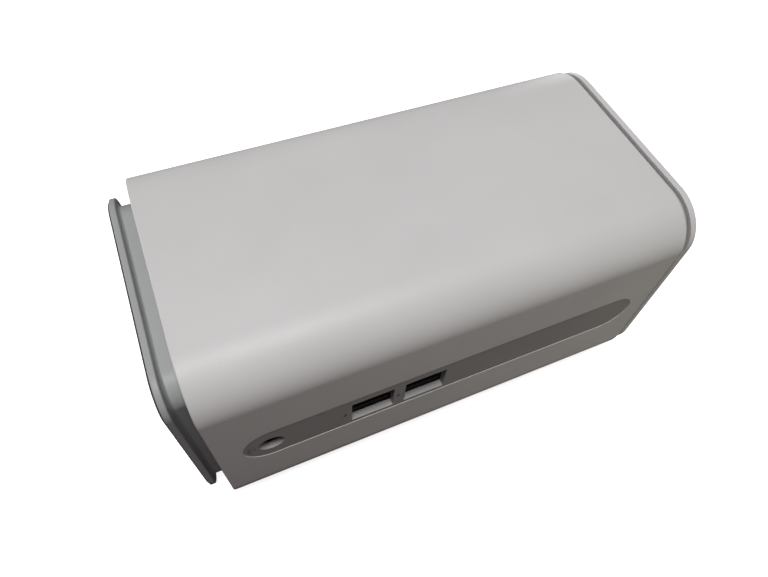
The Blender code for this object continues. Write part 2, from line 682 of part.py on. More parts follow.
def power_inlet(panel):
    size = (9.0 * MM, 11.0 * MM)
    length = 14 * MM
    centre = (along(POWER_INLET_ALONG), CONNECTOR_BASE + size[1] / 2)
    steps = 4
    outer = rounded(*size, 0.5 * MM, steps, centre)
    inner = circle_facing(3.15 * MM, centre, steps)
    window(panel, "power_inlet", 1, circle(4.0 * MM, centre, 24))
    shell("power_inlet_body", 1, outer, inner, length, "black_plastic")
    pin = (
        (PORT_DEPTH + length - SHELL_BACK_WALL - GAP, 1.0 * MM),
        (PORT_DEPTH + 1.2 * MM, 1.0 * MM),
        (PORT_DEPTH + 0.8 * MM, 0.6 * MM),
    )
    lathe("power_inlet_pin", "Y", centre, [(deep(1, depth), radius) for depth, radius in pin], "steel")


def power_button(panel):
    """The button slides along Y. It presses the stem of a switch on the board."""
    centre = (along(BUTTON_ALONG), CONNECTOR_BASE + SWITCH_SIZE / 2)
    window(panel, "power_button", 1, circle(BUTTON_RADIUS + 0.35 * MM, centre, 24))
    flange = PORT_DEPTH
    flange_end = flange + 1.0 * MM
    stem_end = flange + 4.0 * MM
    profile = (
        (0.05 * MM, BUTTON_RADIUS - 0.35 * MM),
        (0.35 * MM, BUTTON_RADIUS),
        (flange, BUTTON_RADIUS),
        (flange, BUTTON_FLANGE_RADIUS),
        (flange_end, BUTTON_FLANGE_RADIUS),
        (flange_end, BUTTON_STEM_RADIUS),
        (stem_end, BUTTON_STEM_RADIUS),
    )
    button = [(deep(1, depth), radius) for depth, radius in profile]
    lathe("power_button", "Y", centre, button, "grey_plastic")
    plunger = [(deep(1, stem_end + depth), PLUNGER_RADIUS) for depth in (GAP, 2.6 * MM)]
    lathe("power_switch_plunger", "Y", centre, plunger, "black_plastic")
    steps = 3
    outline = rounded(SWITCH_SIZE, SWITCH_SIZE, 0.4 * MM, steps, centre)
    bore = circle_facing(PLUNGER_RADIUS + GAP, centre, steps)
    face = stem_end + 1.6 * MM
    back_wall = 1.6 * MM
    shell("power_switch_body", 1, outline, bore, 4 * MM, "black_plastic", face, back_wall)


clear_scene()
make_materials()
make_sleeve()
make_cap()
make_foot()
make_chassis()
make_board()
make_board_parts()
make_front_ports()
make_rear_ports()
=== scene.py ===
"""Looks of the laptop docking station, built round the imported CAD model.

The dock lies on its side: its foot is at -X, its end cap at +X, and its front port strip faces -Y.
Lengths are in metres. "Along" distances run from the sleeve's foot end towards the cap, and "deep"
distances run inwards from the front face (side -1) or from the back face (side +1).
"""

import json
import math

import bmesh
import bpy
from mathutils import Euler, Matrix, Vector


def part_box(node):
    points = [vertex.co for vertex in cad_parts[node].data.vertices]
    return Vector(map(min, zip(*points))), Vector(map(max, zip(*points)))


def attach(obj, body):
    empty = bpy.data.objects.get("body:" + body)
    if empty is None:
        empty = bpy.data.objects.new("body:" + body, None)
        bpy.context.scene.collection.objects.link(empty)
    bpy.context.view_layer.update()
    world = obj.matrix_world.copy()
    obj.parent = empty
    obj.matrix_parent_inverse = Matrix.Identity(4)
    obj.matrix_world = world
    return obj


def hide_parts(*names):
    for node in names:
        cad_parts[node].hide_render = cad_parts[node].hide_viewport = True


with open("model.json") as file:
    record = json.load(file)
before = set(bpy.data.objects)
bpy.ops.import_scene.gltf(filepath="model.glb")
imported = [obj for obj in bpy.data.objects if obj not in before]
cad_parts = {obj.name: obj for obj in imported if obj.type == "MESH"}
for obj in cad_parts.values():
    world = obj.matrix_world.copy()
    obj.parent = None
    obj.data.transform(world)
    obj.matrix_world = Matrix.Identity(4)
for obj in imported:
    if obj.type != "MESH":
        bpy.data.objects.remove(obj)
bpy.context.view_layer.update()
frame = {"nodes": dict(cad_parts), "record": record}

MM = 0.001
GAP = 0.3 * MM  # clearance that the CAD keeps between neighbouring pieces
CORNERS = ((-1, -1), (1, -1), (1, 1), (-1, 1))  # signs of a rectangle's corners, anticlockwise

# --- Sizes, from the CAD's boxes and its driving dimensions -----------------------------------
SLEEVE_LOW, SLEEVE_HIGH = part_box("outer_sleeve")
PLATE_LOW, PLATE_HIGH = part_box("cap_plate")
SPACER_LOW, SPACER_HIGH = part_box("cap_spacer")
SLEEVE_LENGTH = SLEEVE_HIGH.x - SLEEVE_LOW.x
SECTION_DEPTH = SLEEVE_HIGH.y - SLEEVE_LOW.y
SECTION_HEIGHT = SLEEVE_HIGH.z - SLEEVE_LOW.z
MIDDLE_Z = (SLEEVE_LOW.z + SLEEVE_HIGH.z) / 2
# Corner radii of the section: front bottom, back bottom, back top, front top
SECTION_RADII = (18.5 * MM, 17.5 * MM, 17.5 * MM, 15.0 * MM)
SLEEVE_WALL = 2.5 * MM
INNER_FIT = SLEEVE_WALL + 0.4 * MM  # inset of a piece that slides into the sleeve
CORNER_STEPS = 40

PANEL_RECESS = 0.12 * MM
PANEL_BACK = 2.3 * MM  # depth of a strip's inner face
PANEL_RIM_DEPTH = 4.2 * MM
PANEL_FLANGE = 1.0 * MM  # how far the flange stands out behind the sleeve's wall
PANEL_RIM = 1.0 * MM  # inset of the pocket behind a strip
PANEL_FIT = 0.06 * MM  # the line of shadow round a strip, and the round of the sleeve's edge there
PANEL_LENGTH = 135.0 * MM
PANEL_Z = 44.2 * MM
FRONT_PANEL_HEIGHT = 17.4 * MM
REAR_PANEL_HEIGHT = 25.0 * MM
PORT_DEPTH = PANEL_BACK + GAP  # where the connectors' faces are

# Sockets: shells and windows as (width, height), and corner radii as rounded() takes them
FRONT_WINDOW = (13.7 * MM, 11.7 * MM)
SQUARE_CORNER = 0.4 * MM
USB_A_SHELL = (13.1 * MM, 5.7 * MM)
USB_A_WINDOW = (13.7 * MM, 6.3 * MM)
USB_A_WALL = 0.3 * MM
USB_A_TONGUE = (10.6 * MM, 1.9 * MM)
HDMI_SHELL = (14.5 * MM, 5.6 * MM)
HDMI_WINDOW = (15.1 * MM, 6.2 * MM)
HDMI_CORNERS = (1.7 * MM, 1.7 * MM, SQUARE_CORNER, SQUARE_CORNER)
HDMI_TONGUE = (10.0 * MM, 0.9 * MM)
DISPLAYPORT_SHELL = (16.8 * MM, 5.8 * MM)
DISPLAYPORT_WINDOW = (17.4 * MM, 6.4 * MM)
DISPLAYPORT_CORNERS = (SQUARE_CORNER, 1.7 * MM, SQUARE_CORNER, SQUARE_CORNER)
DISPLAYPORT_TONGUE = (12.4 * MM, 1.1 * MM)
DIGITAL_CONTACTS = 10  # on each side of a display socket's tongue
CONTACT_STOP = 4 * MM  # how far before an insulator's back its contacts end
USB_B_SHELL = (12.0 * MM, 11.0 * MM)
USB_B_OPENING = (8.5 * MM, 7.8 * MM)
USB_B_WINDOW = (9.6 * MM, 8.9 * MM)
USB_B_CORNERS = (SQUARE_CORNER, SQUARE_CORNER, 1.8 * MM, 1.8 * MM)
USB_B_BASE = (7.2 * MM, 6.0 * MM)
USB_B_TONGUE = (5.6 * MM, 3.2 * MM)
ETHERNET_SHELL = (16.0 * MM, 13.4 * MM)
ETHERNET_OPENING = (11.9 * MM, 8.6 * MM)
ETHERNET_WINDOW = (13.0 * MM, 10.2 * MM)
ETHERNET_LIFT = -0.6 * MM  # how far the opening is off its shell's middle
POWER_INLET = (9.0 * MM, 11.0 * MM)
POWER_BORE_RADIUS = 3.15 * MM
POWER_WINDOW_RADIUS = 4.0 * MM
POWER_PIN_RADIUS = 1.0 * MM
HEADSET_WINDOW_RADIUS = 3.75 * MM
HEADSET_BORE_RADIUS = 1.8 * MM

BUTTON_RADIUS = 3.45 * MM
BUTTON_FLANGE_RADIUS = 4.5 * MM
BUTTON_STEM_RADIUS = 1.6 * MM
BUTTON_DISH = 0.22 * MM
BUTTON_CLEARANCE = 0.35 * MM
END_SCREW_OFFSET = 24.0 * MM
SCREW_HEAD_HOLE = 2.9 * MM  # radius
SCREW_SHANK_HOLE = 1.55 * MM  # radius
SCREW_HEAD_DEPTH = 1.6 * MM

FOOT_RADII = (20.7 * MM, 19.7 * MM, 19.7 * MM, 13.2 * MM)  # of the rim's outline at no inset
FOOT_INSET = 3.7 * MM
NECK_INSET = 7.3 * MM
FOOT_FACE = -6.3 * MM
SOLE_SEAT = -5.7 * MM
SOLE_FACE = -6.8 * MM
SOLE_BORDER = 0.5 * MM
RIM_END = -4.6 * MM
FOOT_FLOOR = -2.4 * MM
FOOT_PLUG_END = 4.1 * MM
FOOT_WALL = 2.2 * MM
FILLET_LENGTH = 0.85 * MM
FILLET_DEPTH = 3.0 * MM


# --- Places -----------------------------------------------------------------------------------
def along(distance):
    return SLEEVE_LOW.x + distance


def deep(side, distance):
    return side * (SECTION_DEPTH / 2 - distance)


def middle(node):
    low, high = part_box(node)
    return (low + high) / 2


PANEL_CENTRE = (along(SLEEVE_LENGTH / 2), PANEL_Z)


# --- Outlines: lists of (u, v), anticlockwise ---------------------------------------------------
def rounded(width, height, radii, steps, centre=(0.0, 0.0)):
    """A rounded rectangle. The radii start at low u, low v and go anticlockwise."""
    if not isinstance(radii, tuple):
        radii = (radii,) * 4
    points = []
    for corner, ((side_u, side_v), radius) in enumerate(zip(CORNERS, radii)):
        middle_u = centre[0] + side_u * (width / 2 - radius)
        middle_v = centre[1] + side_v * (height / 2 - radius)
        start = math.pi * (1 + corner / 2)
        for step in range(steps + 1):
            angle = start + math.pi / 2 * step / steps
            points.append((middle_u + radius * math.cos(angle), middle_v + radius * math.sin(angle)))
    return points


def section(inset, radii=SECTION_RADII):
    """The dock's cross-section in Y and Z, moved in by this much."""
    size = (SECTION_DEPTH - 2 * inset, SECTION_HEIGHT - 2 * inset)
    moved = tuple(max(radius - inset, 2 * MM) for radius in radii)
    return rounded(*size, moved, CORNER_STEPS, (0.0, MIDDLE_Z))


def foot_section(inset, neck=0.0):
    """The foot's outline. Its corners are the rim's where neck is 0, and the section's where it is 1."""
    radii = tuple(rim + neck * (own - rim) for rim, own in zip(FOOT_RADII, SECTION_RADII))
    return section(inset, radii)


def stadium(length, height, centre):
    """Strips with round ends, as a function of the distance that the outline is moved out by."""
    flat = 0.01 * MM  # keeps a round end's two quarters apart
    steps = 24

    def outline_at(offset):
        tall = height + 2 * offset
        return rounded(length + 2 * offset, tall, tall / 2 - flat, steps, centre)

    return outline_at


def circle(radius, centre, sides, start=0.0):
    turns = [start + 2 * math.pi * side / sides for side in range(sides)]
    return [(centre[0] + radius * math.cos(t), centre[1] + radius * math.sin(t)) for t in turns]


def oblong(width, height, radii, centre, steps=8):
    """Rounded rectangles, as a function of the distance that the outline is moved out by."""
    if not isinstance(radii, tuple):
        radii = (radii,) * 4

    def outline_at(offset):
        moved = tuple(max(radius + offset, 0.02 * MM) for radius in radii)
        return rounded(width + 2 * offset, height + 2 * offset, moved, steps, centre)

    return outline_at


def disc(radius, centre):
    """Circles, as a function of the distance that the outline is moved out by."""
    sides = 96
    return lambda offset: circle(radius + offset, centre, sides)


def disc_facing(radius, centre, steps=8):
    """Circles whose points face those of a rounded rectangle of these corner steps."""
    sides = 4 * (steps + 1)
    start = math.radians(225) - math.pi * steps / sides
    return lambda offset: circle(radius + offset, centre, sides, start)


def round_edge(place, inset, radius, out, steps=5):
    """Profile points (place, inset) round an outer edge, from the side wall to the end face.
    out is +1 where the end face looks along the axis, and -1 where it looks back."""
    points = []
    for step in range(steps + 1):
        angle = math.pi / 2 * step / steps
        back = radius * (1 - math.sin(angle))
        points.append((place - out * back, inset + radius * (1 - math.cos(angle))))
    return points


# --- Meshes -----------------------------------------------------------------------------------
def ring(axis, place, outline):
    """An outline set in space at this place on X, with u and v as Y and Z, or on Y, as X and Z."""
    if axis == "X":
        return [Vector((place, u, v)) for u, v in outline]
    return [Vector((u, place, v)) for u, v in outline]


def mesh_object(name, data):
    """An object made of this bmesh, with its faces turned outwards."""
    bmesh.ops.recalc_face_normals(data, faces=data.faces)
    mesh = bpy.data.meshes.new(name)
    data.to_mesh(mesh)
    data.free()
    obj = bpy.data.objects.new(name, mesh)
    bpy.context.scene.collection.objects.link(obj)
    return obj


def add_loft(data, rings, looped=False):
    """Adds the faces that bridge these rings to a bmesh."""
    rows = [[data.verts.new(point) for point in points] for points in rings]
    count = len(rows[0])
    pairs = list(zip(rows, rows[1:]))
    if looped:
        pairs.append((rows[-1], rows[0]))
    else:
        data.faces.new(rows[0])
        data.faces.new(rows[-1])
    for low, high in pairs:
        for i in range(count):
            j = (i + 1) % count
            data.faces.new((low[i], low[j], high[j], high[i]))


def loft(name, rings, looped=False):
    """Bridges rings of equal length. The end rings are filled, or joined to each other when looped."""
    data = bmesh.new()
    add_loft(data, rings, looped)
    return mesh_object(name, data)


def lathe(name, axis, centre, profile, sides):
    """A turned solid: the profile is (place on the axis, radius) from one end to the other."""
    return loft(name, [ring(axis, place, circle(radius, centre, sides)) for place, radius in profile])


def cut(target, tools):
    """Cuts the tools from the target one after the other, and removes them."""
    for tool in tools:
        modifier = target.modifiers.new("cut", "BOOLEAN")
        modifier.operation = "DIFFERENCE"
        modifier.object = tool
    bpy.context.view_layer.update()
    graph = bpy.context.evaluated_depsgraph_get()
    mesh = bpy.data.meshes.new_from_object(target.evaluated_get(graph))
    target.modifiers.clear()
    target.data = mesh
    for tool in tools:
        bpy.data.objects.remove(tool)


def dress(obj, body, slot, *replaced, material=None):
    """Shades the piece, gives it its slot's material unless it has its own, and ties it to the frame."""
    mesh = obj.data
    mesh.materials.clear()
    mesh.materials.append(MATERIALS[material or slot])
    mesh.shade_smooth()
    mesh.set_sharp_from_angle(angle=math.radians(38))
    weighted = obj.modifiers.new("weighted_normals", "WEIGHTED_NORMAL")
    weighted.keep_sharp = True
    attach(obj, body)
    if replaced:
        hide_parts(*replaced)


# --- Materials --------------------------------------------------------------------------------
class Shader:
    """A material's node tree, with short ways to add to it."""

    def __init__(self, name, roughness, metallic=0.0, specular=0.5):
        self.material = bpy.data.materials.new(name)
        self.material.use_nodes = True
        self.tree = self.material.node_tree
        self.surface = self.tree.nodes["Principled BSDF"]
        self.surface.inputs["Roughness"].default_value = roughness
        self.surface.inputs["Metallic"].default_value = metallic
        self.surface.inputs["Specular IOR Level"].default_value = specular
        self.place = self.add("ShaderNodeTexCoord").outputs["Object"]

    def feed(self, socket, value):
        """Gives an input its value, which is a constant or another node's output socket."""
        if isinstance(value, bpy.types.NodeSocket):
            self.tree.links.new(value, socket)
        else:
            socket.default_value = value

    def add(self, kind, settings=None, **inputs):
        """A node with these settings and input values."""
        node = self.tree.nodes.new(kind)
        for name, value in (settings or {}).items():
            setattr(node, name, value)
        for name, value in inputs.items():
            self.feed(node.inputs[name.replace("_", " ")], value)
        return node

    def set(self, socket, value):
        self.tree.links.new(value, self.surface.inputs[socket])

    def stretched(self, scale):
        """The object's own coordinates, scaled along X, Y and Z."""
        return self.add("ShaderNodeMapping", Vector=self.place, Scale=scale).outputs["Vector"]

    def noise(self, scale, detail=2.0, place=None):
        """Smooth noise about 0.5 with this many waves to the metre."""
        node = self.add("ShaderNodeTexNoise", Vector=place or self.place, Scale=scale, Detail=detail)
        return node.outputs["Fac"]

    def cells(self, scale):
        """Distance to the nearest point of a scatter with this many points to the metre."""
        node = self.add("ShaderNodeTexVoronoi", {"feature": "F1"}, Vector=self.place, Scale=scale)
        return node.outputs["Distance"]

    def between(self, value, low, high, to_low=0.0, to_high=1.0):
        """Maps a value's range onto another, and holds it there."""
        node = self.add("ShaderNodeMapRange", Value=value)
        for name, number in zip(("From Min", "From Max", "To Min", "To Max"), (low, high, to_low, to_high)):
            node.inputs[name].default_value = number
        return node.outputs["Result"]

    def maths(self, operation, first, second):
        node = self.add("ShaderNodeMath", {"operation": operation})
        for socket, value in zip(node.inputs, (first, second)):
            self.feed(socket, value)
        return node.outputs["Value"]

    def mix(self, share, first, second):
        """A colour between two, which are colours or sockets."""
        node = self.add("ShaderNodeMix", {"data_type": "RGBA"})
        sockets = {"Factor": share, "A": first, "B": second}
        for socket in node.inputs:
            if socket.enabled and socket.name in sockets:
                value = sockets[socket.name]
                self.feed(socket, (*value, 1.0) if isinstance(value, tuple) else value)
        return next(socket for socket in node.outputs if socket.enabled)

    def edges(self, radius):
        """1 on edges that stick out or in, and 0 on flat stretches."""
        soft = self.add("ShaderNodeBevel", {"samples": 6}, Radius=radius).outputs["Normal"]
        hard = self.add("ShaderNodeNewGeometry").outputs["Normal"]
        dot = self.add("ShaderNodeVectorMath", {"operation": "DOT_PRODUCT"})
        self.tree.links.new(soft, dot.inputs[0])
        self.tree.links.new(hard, dot.inputs[1])
        return self.between(dot.outputs["Value"], 0.995, 0.86)

    def bump(self, height, strength, depth, below=None):
        """A bump on top of another. Depth is the height in metres of a full step."""
        node = self.add("ShaderNodeBump", Height=height, Strength=strength, Distance=depth)
        if below:
            self.tree.links.new(below, node.inputs["Normal"])
        return node.outputs["Normal"]


def moulded_plastic(name, colour, roughness, specular, wear=0.10):
    """Fine-grained plastic: spark-eroded grain, faint flow patches, smudges, dust and rubbed edges."""
    shader = Shader(name, roughness, specular=specular)
    dust, grain_depth = 0.2, 0.008 * MM
    darker = tuple(0.97 * part for part in colour)
    lighter = tuple(min(1.0, 1.02 * part) for part in colour)
    base = shader.mix(shader.between(shader.noise(30.0, 3.0), 0.3, 0.7), darker, lighter)
    pigment = shader.between(shader.noise(900.0, 2.0), 0.35, 0.75, 0.0, 0.25)
    speckled = shader.mix(pigment, base, darker)
    dirt = tuple(0.35 * part for part in colour)
    specks = shader.between(shader.cells(220.0), 0.025, 0.045, dust, 0.0)
    dusty = shader.mix(specks, speckled, dirt)
    worn = tuple(min(1.0, 1.25 * part + 0.02) for part in colour)
    patches = shader.between(shader.noise(260.0, 3.0), 0.4, 0.65, 0.2, 1.0)
    rubbed = shader.maths("MULTIPLY", shader.edges(0.35 * MM), patches)
    shader.set("Base Color", shader.mix(shader.maths("MULTIPLY", rubbed, wear), dusty, worn))
    smudges = shader.between(shader.noise(55.0, 4.0), 0.35, 0.7, roughness - 0.04, roughness + 0.06)
    shader.set("Roughness", shader.maths("SUBTRACT", smudges, shader.maths("MULTIPLY", rubbed, 0.08)))
    waviness = shader.bump(shader.noise(60.0, 1.0), 0.05, 0.03 * MM)
    shader.set("Normal", shader.bump(shader.noise(2600.0, 3.0), 0.6, grain_depth, waviness))
    return shader.material


def rubber(name, colour):
    """Matt moulded rubber with fine dimples and patches of dust."""
    shader = Shader(name, 0.8)
    dimples = shader.cells(900.0)
    dust = shader.between(shader.noise(70.0, 4.0), 0.45, 0.75, 0.0, 0.35)
    dusty = tuple(part + 0.05 for part in colour)
    shader.set("Base Color", shader.mix(dust, colour, dusty))
    shader.set("Roughness", shader.between(shader.noise(120.0, 3.0), 0.3, 0.7, 0.72, 0.92))
    grain = shader.bump(shader.noise(4000.0, 2.0), 0.5, 0.01 * MM)
    shader.set("Normal", shader.bump(dimples, 0.6, 0.05 * MM, grain))
    return shader.material


def sheet_metal(name, colour, roughness):
    """Plated sheet metal with rolling marks along X, dull patches and bright edges."""
    shader = Shader(name, roughness, metallic=1.0)
    rolled = shader.noise(60.0, 4.0, shader.stretched((1.0, 60.0, 60.0)))
    dull = tuple(0.82 * part for part in colour)
    tarnish = shader.mix(shader.between(shader.noise(90.0, 4.0), 0.35, 0.7), colour, dull)
    bright = tuple(min(1.0, 1.2 * part + 0.03) for part in colour)
    rubbed = shader.maths("MULTIPLY", shader.edges(0.15 * MM), 0.6)
    shader.set("Base Color", shader.mix(rubbed, tarnish, bright))
    shader.set("Roughness", shader.between(rolled, 0.3, 0.7, roughness - 0.08, roughness + 0.14))
    shader.set("Normal", shader.bump(rolled, 0.35, 0.006 * MM))
    return shader.material


def turned_metal(name, colour, roughness):
    """Machined or plated metal with a fine random tool pattern."""
    shader = Shader(name, roughness, metallic=1.0)
    marks = shader.noise(3200.0, 2.0)
    dull = tuple(0.8 * part for part in colour)
    shader.set("Base Color", shader.mix(shader.between(shader.noise(300.0, 3.0), 0.35, 0.7), colour, dull))
    shader.set("Roughness", shader.between(marks, 0.3, 0.7, roughness - 0.06, roughness + 0.12))
    shader.set("Normal", shader.bump(marks, 0.4, 0.005 * MM))
    return shader.material


def circuit_board(name):
    """Solder mask over copper: the tracks show as lighter, slightly raised lines."""
    shader = Shader(name, 0.38)
    mask = (0.010, 0.085, 0.040)
    over_copper = (0.025, 0.170, 0.075)
    brick = shader.add(
        "ShaderNodeTexBrick",
        {"offset": 0.5, "squash": 0.6},
        Vector=shader.place,
        Scale=120.0,
        Mortar_Size=0.06,
        Mortar_Smooth=0.1,
    ).outputs["Fac"]
    pour = shader.between(shader.noise(110.0, 1.0), 0.50, 0.53)
    copper = shader.maths("MAXIMUM", brick, shader.maths("MULTIPLY", pour, 0.8))
    shader.set("Base Color", shader.mix(copper, mask, over_copper))
    shader.set("Roughness", shader.between(shader.noise(400.0, 3.0), 0.3, 0.7, 0.30, 0.46))
    shader.set("Normal", shader.bump(copper, 0.5, 0.03 * MM))
    return shader.material


def silicone_pad(name, colour):
    """Soft thermal pad with pale filler grains."""
    shader = Shader(name, 0.9)
    filler = shader.noise(2500.0, 3.0)
    pale = tuple(1.15 * part for part in colour)
    shader.set("Base Color", shader.mix(shader.between(filler, 0.35, 0.7), colour, pale))
    shader.set("Roughness", shader.between(filler, 0.3, 0.7, 0.82, 0.96))
    shader.set("Normal", shader.bump(filler, 0.5, 0.02 * MM))
    return shader.material


def printed_ink(name, colour):
    """Pad-printed ink: slightly uneven, and worn thin in places."""
    shader = Shader(name, 0.5)
    thin = tuple(1.6 * part + 0.02 for part in colour)
    shader.set("Base Color", shader.mix(shader.between(shader.noise(1800.0, 3.0), 0.45, 0.7), colour, thin))
    shader.set("Roughness", shader.between(shader.noise(900.0, 2.0), 0.3, 0.7, 0.42, 0.58))
    shader.set("Normal", shader.bump(shader.noise(5000.0, 2.0), 0.4, 0.004 * MM))
    return shader.material


MATERIALS = {
    "silver_plastic": moulded_plastic("silver_plastic", (0.600, 0.598, 0.592), 0.50, 0.30),
    "grey_plastic": moulded_plastic("grey_plastic", (0.362, 0.372, 0.370), 0.45, 0.25),
    "strip_plastic": moulded_plastic("strip_plastic", (0.330, 0.322, 0.316), 0.46, 0.25),
    "black_plastic": moulded_plastic("black_plastic", (0.007, 0.007, 0.008), 0.55, 0.12, wear=0.02),
    "rubber": rubber("rubber", (0.034, 0.035, 0.037)),
    "steel": sheet_metal("steel", (0.70, 0.70, 0.69), 0.42),
    # dark_steel is painted shade: a near-black copy of steel for the front USB shells and springs. It
    # stands in for the shade deep inside the front sockets, while the rear sockets use plain steel.
    "dark_steel": sheet_metal("dark_steel", (0.030, 0.030, 0.032), 0.45),
    "screw_steel": turned_metal("screw_steel", (0.50, 0.50, 0.50), 0.32),
    "aluminium": sheet_metal("aluminium", (0.78, 0.79, 0.80), 0.34),
    "circuit_board": circuit_board("circuit_board"),
    "thermal_silicone": silicone_pad("thermal_silicone", (0.30, 0.37, 0.47)),
    "gold_plating": turned_metal("gold_plating", (0.80, 0.56, 0.22), 0.26),
    "dark_ink": printed_ink("dark_ink", (0.13, 0.13, 0.13)),
    "pale_ink": printed_ink("pale_ink", (0.52, 0.52, 0.51)),
}


# --- Casing -----------------------------------------------------------------------------------
def opening_cutter(side, outline_at, wall_end, radius, face=0.0):
    """A cutter that rounds the opening's outer edge. outline_at gives the outline at an offset."""
    overshoot = 1.5 * MM
    touch = 0.002 * MM  # keeps the round from starting exactly in the face
    steps = 5
    profile = [(face - overshoot, radius)]
    for step in range(steps + 1):
        angle = math.pi / 2 * step / steps
        profile.append((face - touch + radius * (1 - math.cos(angle)), radius * (1 - math.sin(angle))))
    profile.append((wall_end, 0.0))
    return loft("cutter", [ring("Y", deep(side, depth), outline_at(offset)) for depth, offset in profile])


def make_sleeve():
    """The rounded square tube, with an opening for each port strip."""
    edge, inner_edge = 0.4 * MM, 0.25 * MM
    profile = [
        *reversed(round_edge(0.0, 0.0, edge, -1)),
        *round_edge(SLEEVE_LENGTH, 0.0, edge, 1),
        (SLEEVE_LENGTH, SLEEVE_WALL - inner_edge),
        (SLEEVE_LENGTH - inner_edge, SLEEVE_WALL),
        (inner_edge, SLEEVE_WALL),
        (0.0, SLEEVE_WALL - inner_edge),
    ]
    rings = [ring("X", along(s), section(inset)) for s, inset in profile]
    sleeve = loft("sleeve_shell", rings, looped=True)
    tools = []
    for side, height in ((-1, FRONT_PANEL_HEIGHT), (1, REAR_PANEL_HEIGHT)):
        outline_at = stadium(PANEL_LENGTH, height, PANEL_CENTRE)
        tools.append(opening_cutter(side, outline_at, SLEEVE_WALL + 2 * MM, PANEL_FIT))
    cut(sleeve, tools)
    dress(sleeve, "dock", "silver_plastic", "outer_sleeve")


def end_screw_centres():
    """Where the four screws at each end are, as (y, z)."""
    return [(y * END_SCREW_OFFSET, MIDDLE_Z + z * END_SCREW_OFFSET) for y, z in CORNERS]


def make_cap_plate():
    """The thin plate at the far end."""
    inset = 0.7 * MM
    start, end = PLATE_LOW.x, PLATE_HIGH.x
    profile = [*reversed(round_edge(start, inset, 0.3 * MM, -1)), *round_edge(end, inset, 0.7 * MM, 1, 8)]
    plate = loft("end_cap_plate", [ring("X", place, section(inset)) for place, inset in profile])
    dress(plate, "dock", "silver_plastic", "cap_plate")


def make_cap_spacer():
    """The grey plate in the groove beside the cap, with a plug that fits into the sleeve."""
    groove_start = along(SLEEVE_LENGTH + GAP)
    groove_end = SPACER_HIGH.x
    groove_inset = 1.9 * MM
    plug_start = along(145.9 * MM)
    lead_in_inset = 5.1 * MM
    edge = 0.15 * MM
    profile = [
        (SPACER_LOW.x, lead_in_inset),
        (plug_start, lead_in_inset),
        (plug_start, INNER_FIT),
        (groove_start, INNER_FIT),
        *reversed(round_edge(groove_start, groove_inset, edge, -1, 3)),
        *round_edge(groove_end, groove_inset, edge, 1, 3),
    ]
    spacer = loft("end_cap_spacer", [ring("X", place, section(inset)) for place, inset in profile])
    seat = groove_end - SCREW_HEAD_DEPTH
    tools = []
    for centre in end_screw_centres():
        hole = (
            (SPACER_LOW.x - MM, SCREW_SHANK_HOLE),
            (seat, SCREW_SHANK_HOLE),
            (seat, SCREW_HEAD_HOLE),
            (groove_end + MM, SCREW_HEAD_HOLE),
        )
        tools.append(lathe("cutter", "X", centre, hole, 32))
    cut(spacer, tools)
    dress(spacer, "dock", "grey_plastic", "cap_spacer")


def foot_rings():
    """The foot from the sole's seat along its outside to the plug, and back inside to its floor."""
    step_out = 1.0 * MM
    flange = [
        (SOLE_SEAT, FOOT_INSET + SOLE_BORDER),
        (FOOT_FACE, FOOT_INSET + SOLE_BORDER),
        *reversed(round_edge(FOOT_FACE, FOOT_INSET, 0.25 * MM, -1)),
        *round_edge(RIM_END, FOOT_INSET, 0.35 * MM, 1),
    ]
    rings = [ring("X", along(s), foot_section(inset)) for s, inset in flange]
    fillet_steps = 16
    fillet_end = RIM_END + 0.1 * MM + FILLET_LENGTH
    for step in range(fillet_steps + 1):
        angle = math.pi / 2 * step / fillet_steps
        s = fillet_end - FILLET_LENGTH * math.cos(angle)
        inset = NECK_INSET - FILLET_DEPTH * (1 - math.sin(angle))
        rings.append(ring("X", along(s), foot_section(inset, step / fillet_steps)))
    plug_and_pocket = (
        (step_out, NECK_INSET),
        (step_out, INNER_FIT),
        (FOOT_PLUG_END, INNER_FIT),
        (FOOT_PLUG_END, INNER_FIT + FOOT_WALL),
        (step_out + FOOT_WALL, INNER_FIT + FOOT_WALL),
        (step_out + FOOT_WALL, NECK_INSET + FOOT_WALL),
        (FOOT_FLOOR, NECK_INSET + FOOT_WALL),
    )
    return rings + [ring("X", along(s), section(inset)) for s, inset in plug_and_pocket]


def make_foot():
    """The foot with its flared rim, neck and screw holes."""
    foot = loft("foot_skirt", foot_rings())
    seat = SOLE_SEAT + SCREW_HEAD_DEPTH
    hole = (
        (SOLE_SEAT - MM, SCREW_HEAD_HOLE),
        (seat, SCREW_HEAD_HOLE),
        (seat, SCREW_SHANK_HOLE),
        (FOOT_FLOOR + MM, SCREW_SHANK_HOLE),
    )
    places = [(along(s), radius) for s, radius in hole]
    cut(foot, [lathe("cutter", "X", centre, places, 32) for centre in end_screw_centres()])
    dress(foot, "dock", "grey_plastic", "base_foot")


def make_sole():
    """The rubber sole, with ribs that follow its outline and a flat middle."""
    inset = FOOT_INSET + SOLE_BORDER + GAP
    pitch, groove, groove_depth, slope = 2.4 * MM, 0.9 * MM, 0.35 * MM, 0.12 * MM
    ribs = 7
    profile = []
    for rib in reversed(range(1, ribs + 1)):
        inner = inset + rib * pitch + groove
        profile += [
            (SOLE_FACE, inner),
            (SOLE_FACE + groove_depth, inner - slope),
            (SOLE_FACE + groove_depth, inner - groove + slope),
            (SOLE_FACE, inner - groove),
        ]
    profile += [*reversed(round_edge(SOLE_FACE, inset, 0.25 * MM, -1)), (SOLE_SEAT - GAP, inset)]
    sole = loft("rubber_sole", [ring("X", along(s), foot_section(inset)) for s, inset in profile])
    dress(sole, "dock", "rubber", "base_rubber_sole")


